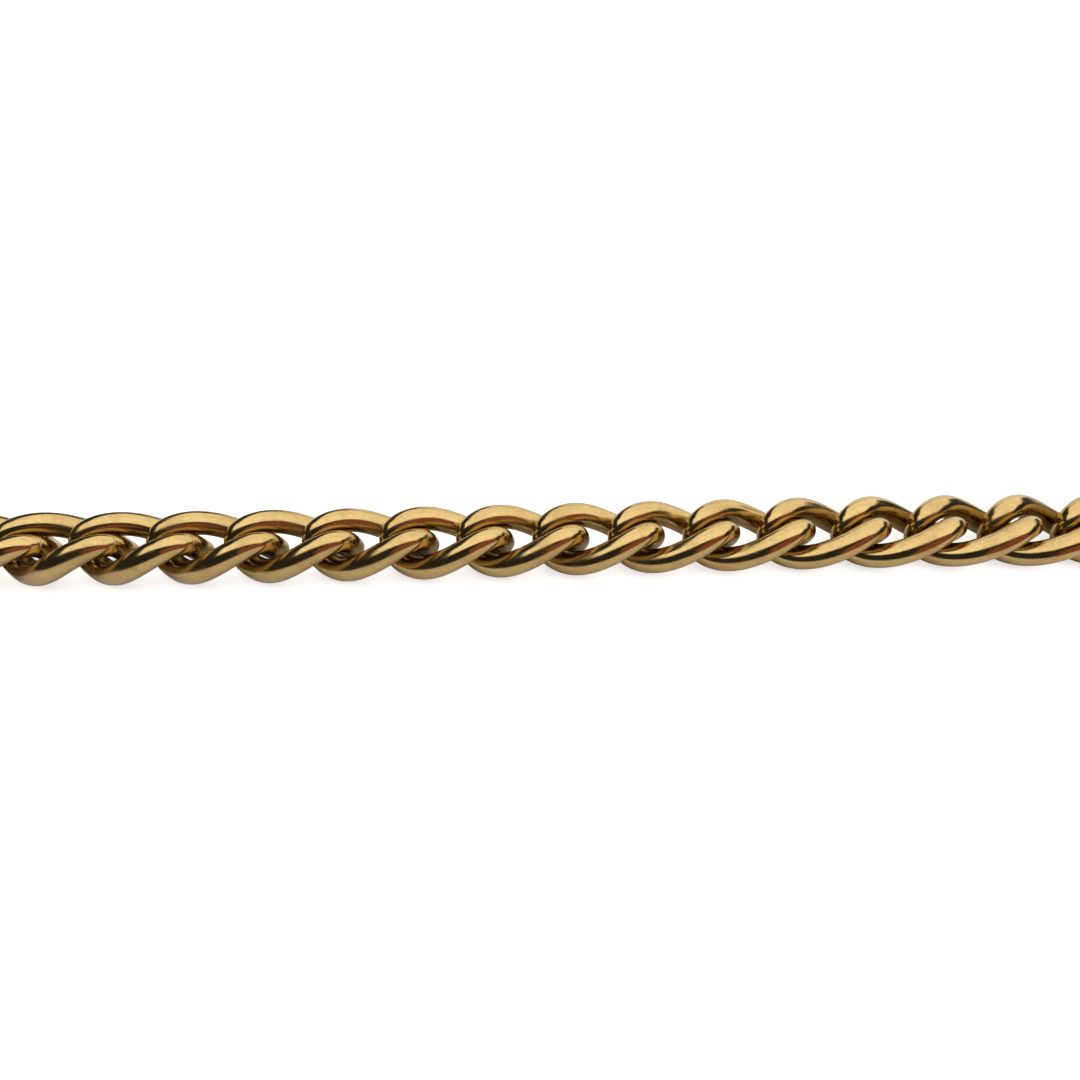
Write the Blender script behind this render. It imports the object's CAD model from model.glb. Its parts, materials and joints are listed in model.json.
import json
import math

import bpy
import numpy as np
from bpy.props import FloatProperty, FloatVectorProperty, IntProperty, PointerProperty
from mathutils import Matrix, Vector


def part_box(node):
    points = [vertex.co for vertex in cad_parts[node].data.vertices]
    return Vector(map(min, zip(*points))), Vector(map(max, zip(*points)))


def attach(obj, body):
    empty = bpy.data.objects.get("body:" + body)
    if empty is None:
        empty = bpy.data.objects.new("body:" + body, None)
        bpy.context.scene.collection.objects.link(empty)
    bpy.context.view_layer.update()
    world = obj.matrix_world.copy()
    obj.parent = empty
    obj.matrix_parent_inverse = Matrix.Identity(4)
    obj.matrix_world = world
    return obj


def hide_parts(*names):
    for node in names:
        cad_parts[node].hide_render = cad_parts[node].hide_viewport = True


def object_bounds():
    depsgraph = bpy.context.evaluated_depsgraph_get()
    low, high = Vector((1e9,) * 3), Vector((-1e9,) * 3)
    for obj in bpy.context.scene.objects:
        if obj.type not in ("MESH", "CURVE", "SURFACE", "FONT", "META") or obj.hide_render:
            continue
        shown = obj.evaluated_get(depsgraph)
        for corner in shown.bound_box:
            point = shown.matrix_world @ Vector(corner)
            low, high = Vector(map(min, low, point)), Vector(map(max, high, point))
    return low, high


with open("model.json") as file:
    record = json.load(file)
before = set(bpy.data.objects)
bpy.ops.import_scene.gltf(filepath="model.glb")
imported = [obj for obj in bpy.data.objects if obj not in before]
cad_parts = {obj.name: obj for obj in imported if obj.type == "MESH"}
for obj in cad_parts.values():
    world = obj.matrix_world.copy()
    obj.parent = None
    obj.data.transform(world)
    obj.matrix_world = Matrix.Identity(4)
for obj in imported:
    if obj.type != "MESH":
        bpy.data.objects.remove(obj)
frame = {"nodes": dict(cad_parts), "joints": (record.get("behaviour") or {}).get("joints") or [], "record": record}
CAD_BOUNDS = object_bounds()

bl_info = {
    "name": "Watch chain looks",
    "version": (1, 0, 0),
    "blender": (4, 5, 0),
    "location": "3D View > Sidebar > Watch chain",
    "description": "Builds a polished curb-link watch chain, its end fittings and a studio",
    "category": "Object",
}

MM = 0.001
SEAM_DEPTH = 0.022
SOLDER_DEPTH = 0.018
TIP_ANGLE = -62
JOINTS = {j["name"]: j for j in frame["joints"]}


def length(name, text, default):
    """A size in millimetres."""
    return FloatProperty(name=name, description=text, default=default, min=0.01, precision=3)


def colour(name, text, default):
    """A colour in linear RGB."""
    return FloatVectorProperty(
        name=name, description=text, default=default, subtype="COLOR", size=3, min=0, max=1
    )


class WATCHCHAIN_PG_links(bpy.types.PropertyGroup):
    """Sizes of the curb links and the end rings, in millimetres."""

    half_length: length("Half length", "Middle of a link to the middle of its end wire", 5.6)
    half_width: length("Half width", "Middle of a link to the middle of its side wire", 2.625)
    wire_side: length("Side wire", "Wire diameter half way along a side", 2.45)
    wire_end: length("End wire", "Wire diameter round the ends", 2.1)
    squareness: FloatProperty(name="Squareness", description="2 is a plain oval", default=2.5)
    twist: FloatProperty(
        name="Twist", description="Turn of each end", default=math.radians(68), subtype="ANGLE"
    )
    seam_at: FloatProperty(
        name="Joint place", description="Where the soldered joint is, round the link",
        default=math.radians(-19), subtype="ANGLE",
    )
    ring_wire: length("Ring wire", "Wire diameter of the end rings", 1.5)
    ring_inside: length("Ring inside", "Inside diameter of the end rings", 5.6)
    ring_tilt: FloatProperty(
        name="Ring tilt", description="Tilt of the end rings from the table",
        default=math.radians(30), subtype="ANGLE",
    )


class WATCHCHAIN_PG_fittings(bpy.types.PropertyGroup):
    """Sizes of the toggle bar, swivel and clip, in millimetres."""

    bar_length: length("Bar length", "Toggle bar over its end beads", 27)
    bar_d: length("Bar diameter", "Diameter of the toggle bar", 2.2)
    bead_d: length("Bead diameter", "Diameter of the end beads", 3.2)
    collar_d: length("Collar diameter", "Diameter of the collar on the bar", 3.6)
    collar_w: length("Collar width", "Width of the collar along the bar", 3.4)
    eye_inside: length("Eye inside", "Inside diameter of the collar's eye", 3.6)
    eye_wire: length("Eye wire", "Wire diameter of the collar's eye", 1.3)
    bow_inside: length("Bow inside", "Inside diameter of the swivel's bow", 4.2)
    bow_wire: length("Bow wire", "Wire diameter of the swivel's bow", 1.4)
    cap_d: length("Cap diameter", "Outside diameter of the swivel's cap", 4.8)
    jaw_wire: length("Jaw wire", "Wire diameter of the clip's jaws", 2)
    loop_inside: length("Loop width", "Width inside the clip's loop", 6)
    loop_straight: length("Loop straight", "Straight part of the clip's loop", 3.6)


class WATCHCHAIN_PG_looks(bpy.types.PropertyGroup):
    """Colours of the metals and the table."""

    gold: colour("Gold", "Polished gold", (0.52, 0.375, 0.155))
    worn: colour("Worn gold", "Redder gold where the polish has worn", (0.40, 0.26, 0.10))
    grime: colour("Grime", "Dull film in the corners", (0.06, 0.03, 0.008))
    steel: colour("Steel", "Stem, rivet and spring", (0.62, 0.60, 0.56))
    table: colour("Table", "The pale table", (0.9, 0.9, 0.9))


def settings():
    scene = bpy.context.scene
    return scene.watch_chain_links, scene.watch_chain_fittings, scene.watch_chain_looks


# ---------------------------------------------------------------- shader expressions


class Value:
    """One value in a shader, which Python's arithmetic extends with Math nodes."""

    def __init__(self, shader, socket):
        self.shader, self.socket = shader, socket

    def math(self, operation, other=None, swap=False):
        values = [self] if other is None else [self, other]
        return self.shader.add(
            "ShaderNodeMath", {"operation": operation}, *(reversed(values) if swap else values)
        )

    def __add__(self, other):
        return self.math("ADD", other)

    def __radd__(self, other):
        return self.math("ADD", other, True)

    def __sub__(self, other):
        return self.math("SUBTRACT", other)

    def __rsub__(self, other):
        return self.math("SUBTRACT", other, True)

    def __mul__(self, other):
        return self.math("MULTIPLY", other)

    def __rmul__(self, other):
        return self.math("MULTIPLY", other, True)

    def clamped(self):
        return self.math("MAXIMUM", 0.0).math("MINIMUM", 1.0)


class Shader:
    """A material's node tree."""

    def __init__(self, name):
        self.material = bpy.data.materials.new(name)
        self.material.use_nodes = True
        self.tree = self.material.node_tree
        self.tree.nodes.clear()

    def add(self, kind, options, *values, out=0, **named):
        """Adds a node: its type, its settings, and the values or links of its sockets."""
        node = self.tree.nodes.new(kind)
        for key, value in options.items():
            if key == "stops":
                for i, (place, shade) in enumerate(value):
                    spare = node.color_ramp.elements
                    stop = spare[i] if i < 2 else spare.new(place)
                    stop.position, stop.color = place, shade
            else:
                setattr(node, key, value)
        pairs = list(enumerate(values)) + [(k.replace("_", " "), v) for k, v in named.items()]
        for key, value in pairs:
            if isinstance(value, Value):
                self.tree.links.new(value.socket, node.inputs[key])
            else:
                node.inputs[key].default_value = value
        return Value(self, node.outputs[out]) if len(node.outputs) else None

    def noise(self, place, scale, detail=3.0, roughness=0.55):
        return self.add(
            "ShaderNodeTexNoise", {}, Vector=place, Scale=scale, Detail=detail, Roughness=roughness
        )

    def band(self, value, low, high):
        """0 below low and 1 above high, smooth between."""
        return self.add(
            "ShaderNodeMapRange", {"interpolation_type": "SMOOTHSTEP"},
            Value=value, From_Min=low, From_Max=high,
        )

    def blend(self, factor, first, second):
        """Mixes two colours."""
        node = self.tree.nodes.new("ShaderNodeMix")
        node.data_type = "RGBA"
        for key, value in ((0, factor), (6, first), (7, second)):
            if isinstance(value, Value):
                self.tree.links.new(value.socket, node.inputs[key])
            else:
                node.inputs[key].default_value = value
        return Value(self, node.outputs[2])

    def surface(self, **named):
        shown = self.add("ShaderNodeBsdfPrincipled", {}, **named)
        self.add("ShaderNodeOutputMaterial", {}, Surface=shown)
        return self.material


def rgba(shade):
    return (*shade, 1.0)


def metal(name, main, worn, grime, polish):
    """Polished metal with soft wear, a film in the corners, hairline scratches and pits."""
    s = Shader(name)
    place = s.add("ShaderNodeTexCoord", {}, out=3)
    shuffle = s.add("ShaderNodeObjectInfo", {}, out=5) * 37.0
    place = s.add("ShaderNodeVectorMath", {"operation": "ADD"}, place, shuffle)
    corner = s.add("ShaderNodeAttribute", {"attribute_name": "corner"}, out=2)
    broad = s.noise(place, 260.0, 4.0)
    fine = s.noise(place, 1500.0, 5.0, 0.65)
    grain = s.noise(place, 5200.0, 3.0)
    streaks = s.noise(
        s.add("ShaderNodeMapping", {}, Vector=place, Rotation=(0.3, 0.5, 0.4), Scale=(1.0, 9.0, 6.0)),
        420.0, 6.0, 0.7,
    )
    pits = s.add("ShaderNodeTexVoronoi", {}, Vector=place, Scale=900.0)
    pit = 1.0 - s.band(pits, 0.035, 0.10)
    chosen = s.band(s.noise(place, 330.0, 1.0), 0.60, 0.66)
    pit = pit * chosen
    wear = s.band(broad, 0.42, 0.72) * 0.55 + s.band(fine, 0.5, 0.75) * 0.25
    film = (corner * (0.55 + 0.9 * (fine - 0.5)) + pit * 0.5).clamped()
    mottle = s.band(s.noise(place, 2300.0, 4.0, 0.7), 0.35, 0.75) * 0.5
    shade = s.blend((wear + mottle).clamped(), rgba(main), rgba(worn))
    shade = s.blend(film, shade, rgba(grime))
    rough = polish + 0.10 * s.band(broad, 0.45, 0.75) + 0.10 * s.band(streaks, 0.52, 0.72)
    rough = rough + 0.22 * film + 0.04 * grain
    height = fine * 0.55 + grain * 0.10 - s.band(streaks, 0.60, 0.70) * 0.12 - pit * 1.5
    bump = s.add("ShaderNodeBump", {}, Strength=0.10, Distance=0.00003, Height=height)
    return s.surface(Base_Color=shade, Metallic=1.0, Roughness=rough.clamped(), Normal=bump)


def finishes():
    """The metals, made once."""
    looks = settings()[2]
    if "Polished gold" not in bpy.data.materials:
        metal("Polished gold", looks.gold, looks.worn, looks.grime, 0.14)
        metal("Ring gold", looks.gold, looks.worn, looks.grime, 0.15)
        metal("Fitting gold", [0.97 * c for c in looks.gold], looks.worn, looks.grime, 0.17)
        metal("Steel", looks.steel, [0.8 * c for c in looks.steel], [0.12, 0.1, 0.08], 0.24)
    return bpy.data.materials


# ---------------------------------------------------------------- shapes, in millimetres


class Shape:
    """A mesh gathered from tubes and turned pieces."""

    def __init__(self):
        self.points, self.faces, self.corner, self.count = [], [], [], 0

    def grid(self, rows, corner, wrap_rows, caps=True):
        """Skins rows of points; each row closes on itself."""
        rows = np.asarray(rows, float)
        n, m = rows.shape[:2]
        base = self.count
        self.points.append(rows.reshape(-1, 3))
        self.corner.append(np.broadcast_to(corner, (n, m)).reshape(-1))
        self.count += n * m
        for i in range(n if wrap_rows else n - 1):
            j = (i + 1) % n
            for k in range(m):
                q = (k + 1) % m
                self.faces.append(
                    (base + i * m + k, base + i * m + q, base + j * m + q, base + j * m + k)
                )
        if caps and not wrap_rows:
            self.faces.append(tuple(base + k for k in reversed(range(m))))
            self.faces.append(tuple(base + (n - 1) * m + k for k in range(m)))

    def turned(self, outline, steps=96, axis="X", at=(0, 0, 0), corner=0.0):
        """Turns an outline of (distance along the axis, radius) points about an axis."""
        turn = np.linspace(0, 2 * math.pi, steps, endpoint=False)
        rows = []
        for along, radius in outline:
            r = max(radius, 0.004)
            a, b, c = np.full(steps, along), r * np.cos(turn), r * np.sin(turn)
            rows.append(
                np.stack({"X": (a, b, c), "Y": (c, a, b), "Z": (b, c, a)}[axis], axis=1)
                + np.array(at)
            )
        self.grid(rows, corner, False)

    def tube(self, middles, radii, upright, closed=False, columns=40, corner=0.0):
        """Sweeps a round section along a path; upright is a direction across it."""
        middles = np.asarray(middles, float)
        ahead = np.gradient(middles, axis=0)
        if closed:
            ahead = np.roll(middles, -1, axis=0) - np.roll(middles, 1, axis=0)
        ahead /= np.linalg.norm(ahead, axis=1)[:, None]
        out = np.cross(ahead, np.broadcast_to(upright, middles.shape))
        out /= np.linalg.norm(out, axis=1)[:, None]
        up = np.cross(out, ahead)
        turn = np.linspace(0, 2 * math.pi, columns, endpoint=False)
        radii = np.broadcast_to(radii, (len(middles),))
        rows = (
            middles[:, None]
            + radii[:, None, None]
            * (np.cos(turn)[None, :, None] * out[:, None] + np.sin(turn)[None, :, None] * up[:, None])
        )
        self.grid(rows, corner, closed)

    def built(self, name, material, sharp=35):
        """The mesh object, in metres."""
        mesh = bpy.data.meshes.new(name)
        points = np.concatenate(self.points) * MM
        mesh.from_pydata(points.tolist(), [], self.faces)
        layer = mesh.attributes.new("corner", "FLOAT", "POINT")
        layer.data.foreach_set("value", np.concatenate(self.corner).astype(np.float32))
        mesh.materials.append(finishes()[material])
        mesh.shade_smooth()
        mesh.set_sharp_from_angle(angle=math.radians(sharp))
        piece = bpy.data.objects.new(name, mesh)
        bpy.context.scene.collection.objects.link(piece)
        return piece


def placed(piece, place, node):
    """Sets a piece where its CAD node is and lets it ride on that node's body."""
    piece.matrix_world = place
    body = next(b for b, nodes in frame["record"]["behaviour"]["bodies"].items() if node in nodes)
    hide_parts(node)
    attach(piece, body)


def middle_of(node):
    low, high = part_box(node)
    return (Vector(low) + Vector(high)) / 2


def matrix(origin, x, y, z):
    turn = Matrix((x, y, z)).transposed().to_4x4()
    return Matrix.Translation(origin) @ turn


def level(origin, heading):
    """A place whose X axis points along a level heading."""
    x = Vector((heading.x, heading.y, 0)).normalized()
    z = Vector((0, 0, 1))
    return matrix(origin, x, z.cross(x), z)


def link_names():
    return sorted(n for n in frame["nodes"] if n.startswith("link_"))


# ---------------------------------------------------------------- links and rings


def signed_power(v, e):
    return np.sign(v) * np.abs(v) ** e


def link_shape(sizes, variety):
    """A closed loop of round wire, twisted each way from its middle, with a soldered joint."""
    rng = np.random.default_rng(variety)
    joint = sizes.seam_at + rng.normal(0, 0.03)
    t = np.linspace(0, 2 * math.pi, 176, endpoint=False)
    near = joint + np.array([-0.02, -0.012, -0.006, 0.0, 0.006, 0.012, 0.02])
    t = np.unique(np.concatenate([t, near % (2 * math.pi)]))

    def middle(u):
        x = sizes.half_length * signed_power(np.cos(u), 2 / sizes.squareness)
        h = sizes.half_width * signed_power(np.sin(u), 2 / sizes.squareness)
        a = -sizes.twist * x / sizes.half_length
        return np.stack([x, h * np.cos(a), h * np.sin(a)], axis=-1), a

    points, lean = middle(t)
    ahead = middle(t + 0.017)[0] - middle(t - 0.017)[0]
    ahead /= np.linalg.norm(ahead, axis=1)[:, None]
    across = np.stack([0 * lean, -np.sin(lean), np.cos(lean)], axis=-1)
    out = np.cross(ahead, across)
    out /= np.linalg.norm(out, axis=1)[:, None]
    up = np.cross(out, ahead)
    radius = (
        sizes.wire_end + (sizes.wire_side - sizes.wire_end) * np.abs(np.sin(t)) ** 1.2
    ) / 2
    inner = math.pi + np.radians([-7, -4.5, -2.6, -1.2, 0, 1.2, 2.6, 4.5, 7])
    turn = np.unique(np.concatenate([np.linspace(0, 2 * math.pi, 44, endpoint=False), inner]))
    seam = SEAM_DEPTH * np.exp(-(((turn - math.pi) / math.radians(1.5)) ** 2))
    gap = (t - joint + math.pi) % (2 * math.pi) - math.pi
    solder = SOLDER_DEPTH * np.exp(-((gap / 0.006) ** 2)) - 0.006 * np.exp(-((gap / 0.03) ** 2))
    waves = 0.006 * np.sin(3 * t + rng.uniform(0, 6)) + 0.004 * np.sin(5 * t + rng.uniform(0, 6))
    r = radius[:, None] + waves[:, None] - seam[None, :] - solder[:, None]
    rows = points[:, None] + r[..., None] * (
        np.cos(turn)[None, :, None] * out[:, None] + np.sin(turn)[None, :, None] * up[:, None]
    )
    inside = np.clip(-np.cos(turn), 0, 1)[None, :] ** 2 * (0.25 + 0.75 * np.abs(np.cos(t))[:, None])
    groove = np.maximum(seam[None, :] / SEAM_DEPTH, np.clip(solder, 0, 1)[:, None] / SOLDER_DEPTH)
    shape = Shape()
    shape.grid(rows, np.clip(0.95 * inside + 0.8 * groove, 0, 1), True)
    return shape


class WATCHCHAIN_OT_links(bpy.types.Operator):
    """Builds the curb links."""

    bl_idname = "watch_chain.links"
    bl_label = "Curb links"

    def execute(self, context):
        sizes = settings()[0]
        names = link_names()
        for i, name in enumerate(names):
            ahead = middle_of(names[min(i + 1, len(names) - 1)]) - middle_of(names[max(i - 1, 0)])
            piece = link_shape(sizes, i).built(name.replace("link_", "curb_link_"), "Polished gold")
            placed(piece, level(middle_of(name), ahead), name)
        return {"FINISHED"}


class WATCHCHAIN_OT_rings(bpy.types.Operator):
    """Builds the two end rings."""

    bl_idname = "watch_chain.rings"
    bl_label = "End rings"

    def execute(self, context):
        sizes = settings()[0]
        names = link_names()
        radius = (sizes.ring_inside + sizes.ring_wire) / 2
        for i, (node, near) in enumerate((("bar_ring", names[0]), ("clip_ring", names[-1]))):
            t = np.linspace(0, 2 * math.pi, 160, endpoint=False)
            wire = sizes.ring_wire / 2 - 0.012 * np.exp(-(((t - 2.2 - i) / 0.012) ** 2))
            path = np.stack([radius * np.cos(t), radius * np.sin(t), 0 * t], axis=1)
            shape = Shape()
            shape.tube(path, wire, (0, 0, 1), closed=True, columns=48)
            piece = shape.built(("toggle_end_ring", "clip_end_ring")[i], "Ring gold")
            side = -1 if i == 0 else 1
            heading = side * (middle_of(node) - middle_of(near))
            tilt = Matrix.Rotation(side * sizes.ring_tilt, 4, "X")
            placed(piece, level(middle_of(node), heading) @ tilt, node)
        return {"FINISHED"}


# ---------------------------------------------------------------- toggle bar


def bar_place():
    """X from the bar's middle to its eye."""
    f = settings()[1]
    eye_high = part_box("bar_eye")[1][2] - (f.eye_inside / 2 + f.eye_wire) * MM
    lean = math.asin(eye_high / (bar_to_eye(f) * MM))
    heading = Vector(JOINTS["toggle_swing"]["pos_m"])
    return level(Vector(), heading) @ Matrix.Rotation(-lean, 4, "Y")


def bar_to_eye(f):
    return (f.collar_d + f.eye_inside + f.eye_wire) / 2 - f.eye_wire * 0.3 + f.eye_wire / 2


def bead_rings(first, last, count, radius, depth, steps=9):
    """A row of small rounded beads in an outline."""
    pitch = (last - first) / count
    outline = []
    for i in range(count):
        for k in range(steps + 1):
            a = math.pi * k / steps
            outline.append((first + (i + 0.5 - math.cos(a) / 2) * pitch, radius + depth * math.sin(a)))
    return outline


class WATCHCHAIN_OT_toggle(bpy.types.Operator):
    """Builds the toggle bar, its beads, and the collar with its eye."""

    bl_idname = "watch_chain.toggle"
    bl_label = "Toggle bar"

    def execute(self, context):
        f = settings()[1]
        place = bar_place()
        bead_at = (f.bar_length - f.bead_d) / 2
        r = f.bar_d / 2
        w = f.collar_w / 2
        half = [(0, r), (w + 0.1, r)] + bead_rings(w + 0.25, w + 1.75, 3, r - 0.06, 0.12)
        half.append((w + 1.9, r * 0.97))
        for k in range(25):
            y = w + 2.2 + (bead_at - 2.4 - w - 2.2) * k / 24
            half.append((y, r * (1.0 - 0.10 * math.sin(math.pi * k / 24) ** 2)))
        half.append((bead_at, r))
        whole = [(-y, q) for y, q in reversed(half[1:])] + half
        bar = Shape()
        bar.turned(whole, 72, "Y")
        placed(bar.built("toggle_bar_rod", "Fitting gold", 50), place, "toggle_bar")

        beads = Shape()
        for side in (-1, 1):
            outline = [(-f.bead_d * 0.74, r * 0.98), (-f.bead_d * 0.73, r + 0.2)]
            outline += bead_rings(-f.bead_d * 0.72, -f.bead_d * 0.48, 1, r + 0.08, 0.2)
            outline += [(-f.bead_d * 0.46, r * 0.9)]
            for k in range(28):
                a = math.radians(150 - 150 * k / 27)
                outline.append((f.bead_d / 2 * -math.cos(math.pi - a), f.bead_d / 2 * math.sin(a)))
            beads.turned([(side * (bead_at + y), q) for y, q in outline], 72, "Y", corner=0.04)
        placed(beads.built("toggle_bar_beads", "Fitting gold", 50), place, "bar_beads")

        eye = Shape()
        c = f.collar_d / 2
        outline = [(-w, r + 0.03), (-w, c - 0.28), (-w + 0.08, c - 0.08), (-w + 0.28, c)]
        outline += [(-w + 0.55, c), (-w + 0.62, c - 0.1), (-w + 0.7, c)]
        outline += [(-y, q) for y, q in reversed(outline)]
        eye.turned(outline, 84, "Y")
        t = np.linspace(0, 2 * math.pi, 120, endpoint=False)
        eye_r = (f.eye_inside + f.eye_wire) / 2
        path = np.stack([bar_to_eye(f) + eye_r * np.cos(t), 0 * t, eye_r * np.sin(t)], axis=1)
        swell = 1 + 0.10 * np.clip(-np.cos(t), 0, 1) ** 8
        eye.tube(path, f.eye_wire / 2 * swell, (0, 1, 0), closed=True, columns=40)
        placed(eye.built("toggle_bar_eye", "Fitting gold", 40), place, "bar_eye")
        return {"FINISHED"}


# ---------------------------------------------------------------- swivel and clip


def swivel_sizes(f):
    """Places along the swivel's axis, from the middle of its bow."""
    bow_r = (f.bow_inside + f.bow_wire) / 2
    cap_from = bow_r + f.bow_wire / 2 + 0.5
    cap_end = cap_from + 3.8
    jaw_r = (f.loop_inside + f.jaw_wire) / 2
    base_end = cap_end + 2.55
    near = base_end + 0.3 + jaw_r - 1.1
    return bow_r, cap_from, cap_end, base_end, jaw_r, near, near + f.loop_straight


def swivel_place():
    """X along the swivel from its bow to the clip's tip, Z along the gate's rivet."""
    x = Vector(JOINTS["clip_swivel"]["axis"]).normalized()
    z = Vector(JOINTS["gate_swing"]["axis"]).normalized()
    cap_end = swivel_sizes(settings()[1])[2]
    origin = Vector(JOINTS["clip_swivel"]["pos_m"]) - x * cap_end * MM
    return matrix(origin, x, z.cross(x), z)


def arc(middle, radius, start, end, steps):
    a = np.radians(np.linspace(start, end, steps))
    return np.stack([middle + radius * np.cos(a), radius * np.sin(a), 0 * a], axis=1)


class WATCHCHAIN_OT_swivel(bpy.types.Operator):
    """Builds the swivel's bow with its cap, the bush and the stem."""

    bl_idname = "watch_chain.swivel"
    bl_label = "Swivel"

    def execute(self, context):
        links, f, _ = settings()
        bow_r, cap_from, cap_end, base_end, *_ = swivel_sizes(f)
        place = swivel_place()
        cap_r = f.cap_d / 2
        hollow_r = cap_r - 0.6
        bow = Shape()
        a = links.ring_tilt - math.pi / 2
        t = np.linspace(0, 2 * math.pi, 140, endpoint=False)
        path = np.stack(
            [bow_r * np.cos(t), bow_r * np.sin(t) * math.cos(a), bow_r * np.sin(t) * math.sin(a)], axis=1
        )
        swell = 1 + 0.12 * np.clip(np.cos(t), 0, 1) ** 6
        bow.tube(path, f.bow_wire / 2 * swell, (0, -math.sin(a), math.cos(a)), closed=True, columns=44)
        outline = [(bow_r - 0.3, 0.02), (bow_r - 0.2, 0.9), (cap_from - 0.5, 1.02)]
        outline += bead_rings(cap_from - 0.42, cap_from + 0.02, 1, 1.05, 0.22)
        for k in range(10):
            b = math.radians(90 * k / 9)
            outline.append((cap_from + 0.1 + 0.9 * (1 - math.cos(b)), 1.15 + (cap_r - 1.15) * math.sin(b)))
        outline += bead_rings(cap_from + 1.15, cap_from + 1.5, 1, cap_r - 0.08, 0.08)
        outline += [(cap_from + 1.55, cap_r - 0.05), (cap_end - 0.75, cap_r - 0.05)]
        outline += bead_rings(cap_end - 0.7, cap_end - 0.1, 2, cap_r - 0.1, 0.1)
        outline += [(cap_end, cap_r - 0.12), (cap_end, hollow_r), (cap_from + 1.1, hollow_r)]
        outline += [(cap_from + 1.1, 0.02)]
        bow.turned(outline, 96)
        placed(bow.built("swivel_bow_cap", "Fitting gold", 40), place, "swivel_bow")

        bush = Shape()
        bush.turned([
            (cap_end - 1, 0.8), (cap_end - 1, hollow_r), (cap_end - 0.04, hollow_r),
            (cap_end, hollow_r - 0.06), (cap_end, 0.9), (cap_end - 0.06, 0.8), (cap_end - 1, 0.8),
        ], 84, corner=0.5)
        placed(bush.built("swivel_bush_ring", "Fitting gold", 30), place, "swivel_bush")

        stem = Shape()
        stem.turned([
            (cap_from + 1.4, 0.02), (cap_from + 1.4, hollow_r - 0.35), (cap_from + 1.5, hollow_r - 0.25),
            (cap_end - 1.15, hollow_r - 0.25), (cap_end - 1.15, 0.75), (base_end - 0.96, 0.75),
            (base_end - 0.96, 0.02),
        ], 72, corner=0.3)
        placed(stem.built("swivel_stem_pin", "Steel", 30), place, "swivel_stem")
        return {"FINISHED"}


class WATCHCHAIN_OT_clip(bpy.types.Operator):
    """Builds the clip's body, gate, rivet and spring."""

    bl_idname = "watch_chain.clip"
    bl_label = "Clip"

    def execute(self, context):
        f = settings()[1]
        _, _, cap_end, base_end, jaw_r, near, far = swivel_sizes(f)
        place = swivel_place()
        wire = f.jaw_wire / 2
        base_r = f.cap_d / 2 - 0.15
        pivot = (base_end + 0.3, -1.4, 0)
        body = Shape()
        outline = [(cap_end + 0.15, 0.76), (cap_end + 0.15, base_r - 0.3), (cap_end + 0.25, base_r - 0.1)]
        outline += bead_rings(cap_end + 0.3, cap_end + 0.95, 2, base_r - 0.12, 0.12)
        for k in range(12):
            b = math.radians(90 * k / 11)
            outline.append((cap_end + 1.1 + 1.4 * math.sin(b), base_r - 0.1 - 0.75 * (1 - math.cos(b))))
        outline += [(base_end, 0.02)]
        body.turned(outline, 96)
        for side in (-1, 1):
            inner, outer, rim = side * 0.66, side * 1.45, 1.65
            cheek = [(inner, 0.5), (inner, rim), (outer - side * 0.2, rim)]
            cheek += [(outer - side * 0.06, rim - 0.06), (outer, rim - 0.2), (outer, 0.5)]
            body.turned(cheek, 72, "Z", pivot, 0.05)
        path = np.concatenate([
            arc(near, jaw_r, 182, 92, 48),
            np.stack([np.linspace(near, far, 14), np.full(14, jaw_r), np.zeros(14)], axis=1),
            arc(far, jaw_r, 88, TIP_ANGLE + 1.2, 76),
        ])
        run = np.linspace(0, 1, len(path))
        body.tube(path, wire * (1.04 - 0.12 * run), (0, 0, 1), columns=48)
        placed(body.built("clip_body_jaw", "Fitting gold", 40), place, "clip_body")

        gate = Shape()
        tongue = [(-0.58, 0.56), (-0.58, 1.38), (-0.5, 1.44)]
        tongue += [(-z, q) for z, q in reversed(tongue)]
        gate.turned(tongue, 72, "Z", pivot, 0.1)
        path = np.concatenate([
            arc(near, jaw_r, 221, 268, 30),
            np.stack([np.linspace(near, far, 14), np.full(14, -jaw_r), np.zeros(14)], axis=1),
            arc(far, jaw_r, -88, TIP_ANGLE - 1.2, 20),
        ])
        run = np.linspace(0, 1, len(path))
        swell = wire * (0.62 + 0.38 * np.clip(run / 0.12, 0, 1) ** 0.5) * (1 - 0.10 * run)
        gate.tube(path, swell, (0, 0, 1), columns=48)
        neck = arc(near, jaw_r, 206, 226, 12)
        gate.tube(neck, 0.57, (0, 0, 1), columns=32)
        lug = math.radians(238)
        lug_r = jaw_r + wire * 1.1
        ball = [(-0.95 * math.cos(b), 0.95 * math.sin(b)) for b in np.linspace(0, math.pi, 30)]
        gate.turned(ball, 60, "Z", (near + lug_r * math.cos(lug), lug_r * math.sin(lug), 0))
        placed(gate.built("clip_gate_jaw", "Fitting gold", 40), place, "clip_gate")

        rivet = Shape()
        dome = [(1.45 + 0.10 * math.sin(b), 0.5 * math.cos(b)) for b in np.linspace(0, math.pi / 2, 8)]
        rivet.turned([(-z, q) for z, q in reversed(dome)] + dome, 48, "Z", pivot, 0.1)
        placed(rivet.built("clip_gate_rivet", "Steel", 40), place, "gate_rivet")

        spring = Shape()
        a = np.linspace(0, 4 * math.pi, 120)
        coil = 0.7
        rise = 0.2 + 0.28 * a / (4 * math.pi)
        path = np.stack([pivot[0] + coil * np.cos(a), pivot[1] + coil * np.sin(a), rise], axis=1)
        spring.tube(path, 0.12, (0, 0, 1), columns=16)
        placed(spring.built("clip_gate_spring", "Steel", 40), place, "gate_spring")
        return {"FINISHED"}


# ---------------------------------------------------------------- studio


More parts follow.
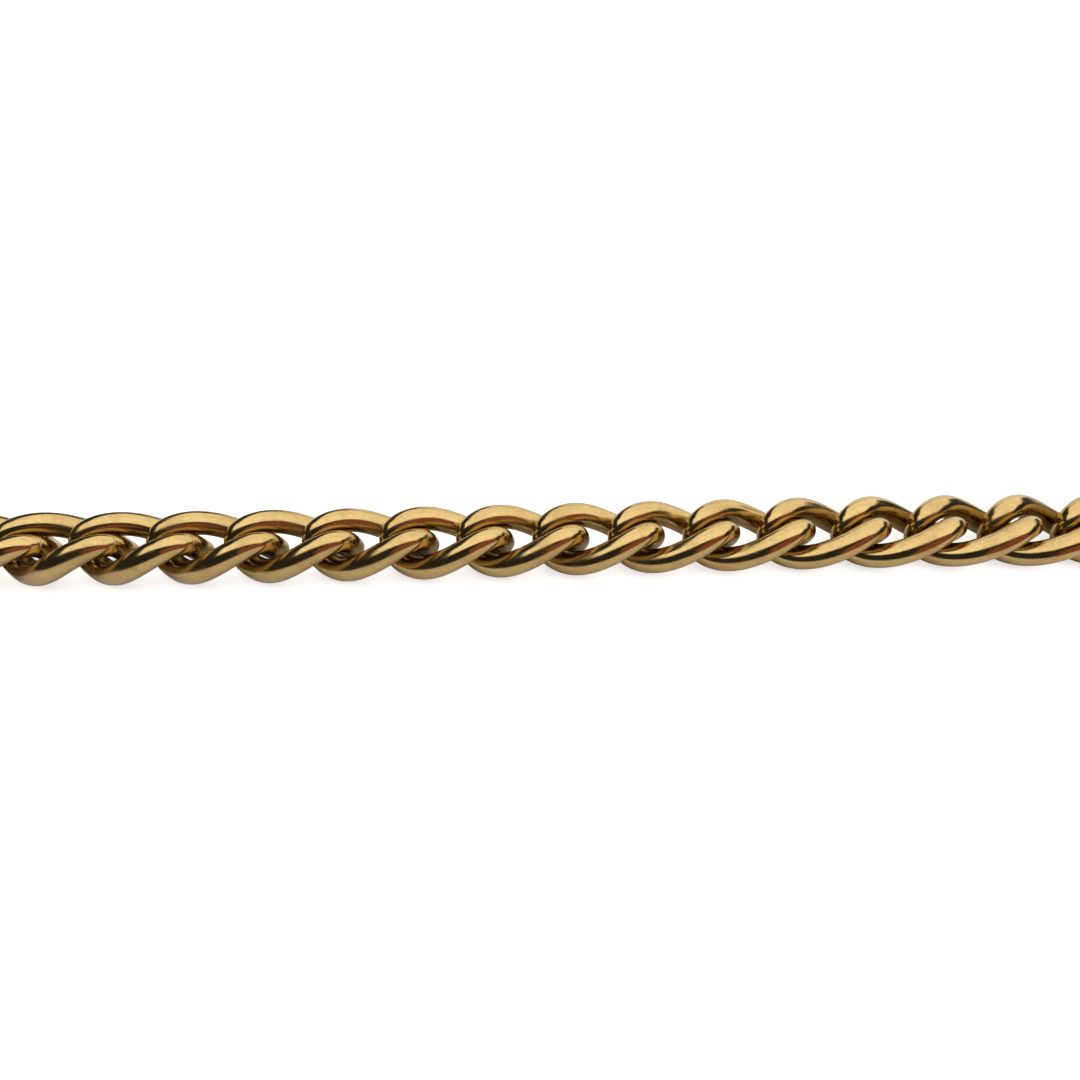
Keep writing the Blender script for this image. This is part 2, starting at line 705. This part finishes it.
def soft_box(name, place, aim, size, bright, shade=(1, 1, 1)):
    """A flat lamp, as bright as asked whatever its size."""
    data = bpy.data.lights.new(name, "AREA")
    data.shape, data.size, data.size_y = "RECTANGLE", *size
    data.energy, data.color = bright * math.pi * size[0] * size[1], shade
    lamp = bpy.data.objects.new(name, data)
    bpy.context.scene.collection.objects.link(lamp)
    lamp.location = place
    lamp.rotation_euler = (Vector(aim) - Vector(place)).to_track_quat("-Z", "Y").to_euler()
    lamp.visible_camera = False


class WATCHCHAIN_OT_studio(bpy.types.Operator):
    """Builds the table, the lamps and the camera."""

    bl_idname = "watch_chain.studio"
    bl_label = "Studio"

    def execute(self, context):
        scene = context.scene
        tint = settings()[2].table
        s = Shader("Pale table")
        grain = s.noise(s.add("ShaderNodeTexCoord", {}, out=3), 900.0, 4.0)
        shade = s.blend(grain, rgba(tint), rgba([0.97 * c for c in tint]))
        seen = s.add("ShaderNodeLightPath", {})
        glow = s.blend(seen, (0, 0, 0, 1), (1, 1, 1, 1))
        material = s.surface(
            Base_Color=shade, Roughness=0.55 + 0.1 * grain, Emission_Color=glow, Emission_Strength=0.7
        )
        mesh = bpy.data.meshes.new("table")
        half = 2
        corners = [(-half, -half, 0), (half, -half, 0), (half, half, 0), (-half, half, 0)]
        mesh.from_pydata(corners, [], [(0, 1, 2, 3)])
        mesh.materials.append(material)
        table = bpy.data.objects.new("table", mesh)
        table.location.z = CAD_BOUNDS[0][2] - 0.00002
        scene.collection.objects.link(table)

        names = link_names()
        mid = middle_of(names[len(names) // 2 - 1])
        world = bpy.data.worlds.new("Studio air")
        world.use_nodes = True
        nodes, links = world.node_tree.nodes, world.node_tree.links
        seen = nodes.new("ShaderNodeLightPath")
        mix = nodes.new("ShaderNodeMix")
        mix.data_type = "RGBA"
        mix.inputs[6].default_value = (0.030, 0.032, 0.034, 1)
        mix.inputs[7].default_value = (0.78, 0.78, 0.78, 1)
        links.new(seen.outputs["Is Camera Ray"], mix.inputs[0])
        links.new(mix.outputs[2], nodes["Background"].inputs["Color"])
        scene.world = world
        down = Vector((0, 0, -1))
        over = mid + Vector((0.15, -0.09, 0.5))
        soft_box("over_box", over, over + down, (1.5, 0.42), 1.75, (1, 0.98, 0.95))
        behind = mid + Vector((0.40, 0.60, 0.5))
        soft_box("behind_box", behind, behind + down, (1.6, 0.96), 1.6, (1, 0.98, 0.95))
        soft_box("wall_box", mid + Vector((0.45, 1.2, 0.25)), mid, (1.5, 0.5), 1.3, (1, 0.97, 0.93))
        soft_box("brown_card", mid + Vector((0.27, -0.33, 0.15)), mid, (0.5, 0.34), 0.34, (1, 0.27, 0.13))
        scene.view_settings.view_transform = "Standard"

        aside = 0.06
        width = 0.1081
        away = 0.062
        along = 0.00168
        data = bpy.data.cameras.new("camera")
        data.sensor_width = 36
        data.lens = 36 * away / width
        data.shift_x = -aside
        data.clip_start = 0.002
        camera = bpy.data.objects.new("camera", data)
        scene.collection.objects.link(camera)
        tilt = math.radians(49)
        aim = mid + Vector((along + aside * width, 0, 0))
        camera.location = aim + Vector((0, -math.cos(tilt), math.sin(tilt))) * away
        camera.rotation_euler = (math.pi / 2 - tilt, 0, 0)
        scene.camera = camera
        return {"FINISHED"}


class WATCHCHAIN_PT_panel(bpy.types.Panel):
    """Lists the pieces of the watch chain."""

    bl_label = "Watch chain"
    bl_idname = "WATCHCHAIN_PT_panel"
    bl_space_type = "VIEW_3D"
    bl_region_type = "UI"
    bl_category = "Watch chain"

    def draw(self, context):
        for operator in OPERATORS:
            self.layout.operator(operator.bl_idname)


GROUPS = (
    ("watch_chain_links", WATCHCHAIN_PG_links),
    ("watch_chain_fittings", WATCHCHAIN_PG_fittings),
    ("watch_chain_looks", WATCHCHAIN_PG_looks),
)
OPERATORS = (
    WATCHCHAIN_OT_links,
    WATCHCHAIN_OT_rings,
    WATCHCHAIN_OT_toggle,
    WATCHCHAIN_OT_swivel,
    WATCHCHAIN_OT_clip,
    WATCHCHAIN_OT_studio,
)


def register():
    for name, group in GROUPS:
        bpy.utils.register_class(group)
        setattr(bpy.types.Scene, name, PointerProperty(type=group))
    for kind in (*OPERATORS, WATCHCHAIN_PT_panel):
        bpy.utils.register_class(kind)


def unregister():
    for kind in reversed((*OPERATORS, WATCHCHAIN_PT_panel)):
        bpy.utils.unregister_class(kind)
    for name, group in reversed(GROUPS):
        delattr(bpy.types.Scene, name)
        bpy.utils.unregister_class(group)


def main():
    register()
    for operator in OPERATORS:
        group, name = operator.bl_idname.split(".")
        getattr(getattr(bpy.ops, group), name)()
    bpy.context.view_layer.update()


if __name__ == "__main__":
    main()
